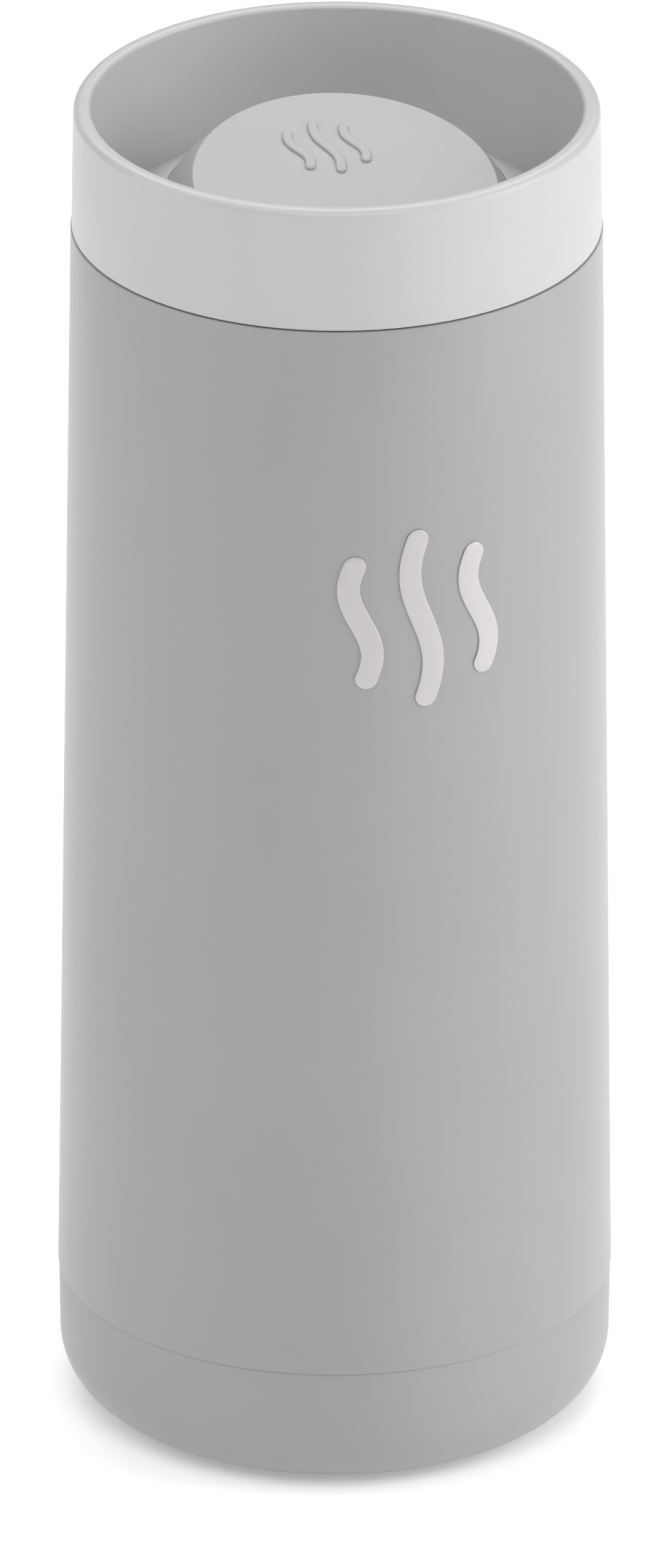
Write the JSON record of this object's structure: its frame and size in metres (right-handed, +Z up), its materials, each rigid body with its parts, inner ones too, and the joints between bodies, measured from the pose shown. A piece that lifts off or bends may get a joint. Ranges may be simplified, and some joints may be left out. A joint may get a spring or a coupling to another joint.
{
  "type": "insulated travel mug",
  "caption": "Vacuum-insulated steel travel mug with a screw-in lid whose bowl pours all round a sprung push-to-open button.",
  "frame": {"origin": "on the mug's axis, on the surface that the mug stands on", "axes": "+Z up along the mug's axis; the front, with the mark, looks along -Y; +X is to the right seen from the front"},
  "size_m": [0.08, 0.08, 0.2016],
  "materials": {
    "satin_paint": "satin powder coat, light grey",
    "base_paint": "satin powder coat, light grey",
    "liner_steel": "turned stainless steel",
    "shell_end_steel": "bare stainless steel",
    "mark_steel": "bright brushed",
    "lid_plastic": "satin moulded, pale grey",
    "button_plastic": "satin moulded, pale grey",
    "inner_plastic": "moulded, mid grey",
    "neck_plastic": "moulded, mid grey",
    "cam_plastic": "natural acetal",
    "silicone": "matte silicone",
    "valve_silicone": "matte silicone",
    "pad_silicone": "matte silicone",
    "spring_steel": "bright stainless",
    "getter_alloy": "sintered alloy",
    "vacuum_solder": "solder bead"
  },
  "bodies": {
    "mug_body": {"outer_shell": "satin_paint", "base_cap": "base_paint", "inner_liner": "liner_steel", "neck_ring": "neck_plastic", "shell_bottom": "shell_end_steel", "vacuum_plug": "vacuum_solder", "getter_pill": "getter_alloy", "base_pad": "pad_silicone", "front_mark_left": "mark_steel", "front_mark_middle": "mark_steel", "front_mark_right": "mark_steel"},
    "gasket": {"lid_gasket": "silicone"},
    "lid": {"lid_shell": "lid_plastic", "lid_core": "inner_plastic", "core_seal": "silicone", "valve_guide": "cam_plastic", "retaining_ring": "spring_steel", "cam_sleeve": "cam_plastic", "cam_upper": "cam_plastic", "cam_lower": "cam_plastic", "return_spring": "spring_steel"},
    "button": {"button_dome": "button_plastic", "button_base": "inner_plastic", "plunger_stem": "spring_steel", "seal_carrier": "inner_plastic", "valve_seal": "valve_silicone", "carrier_nut": "spring_steel"},
    "rotor": {"index_rotor": "cam_plastic"}
  },
  "joints": [
    {"name": "lid_rise", "type": "slide", "parent": "mug_body", "child": "gasket", "axis": [0, 0, 1], "range_m": [0, 0.042]},
    {"name": "lid_turn", "type": "hinge", "parent": "gasket", "child": "lid", "pos_m": [0, 0, 0.1835], "axis": [0, 0, 1], "range_deg": [0, 2520]},
    {"name": "button_press", "type": "slide", "parent": "lid", "child": "button", "axis": [0, 0, -1], "range_m": [0, 0.004], "stiffness_N_per_m": 800, "springref_m": -0.003, "deforming": ["return_spring"]},
    {"name": "rotor_index", "type": "hinge", "parent": "button", "child": "rotor", "pos_m": [0, 0, 0.159], "axis": [0, 0, 1], "range_deg": [0, 45]}
  ],
  "couplings": [
    {"joint": "lid_rise", "follows": "lid_turn", "m_per_rad": 0.00095493},
    {"joint": "rotor_index", "follows": "button_press", "rad_per_m": 196.35}
  ]
}
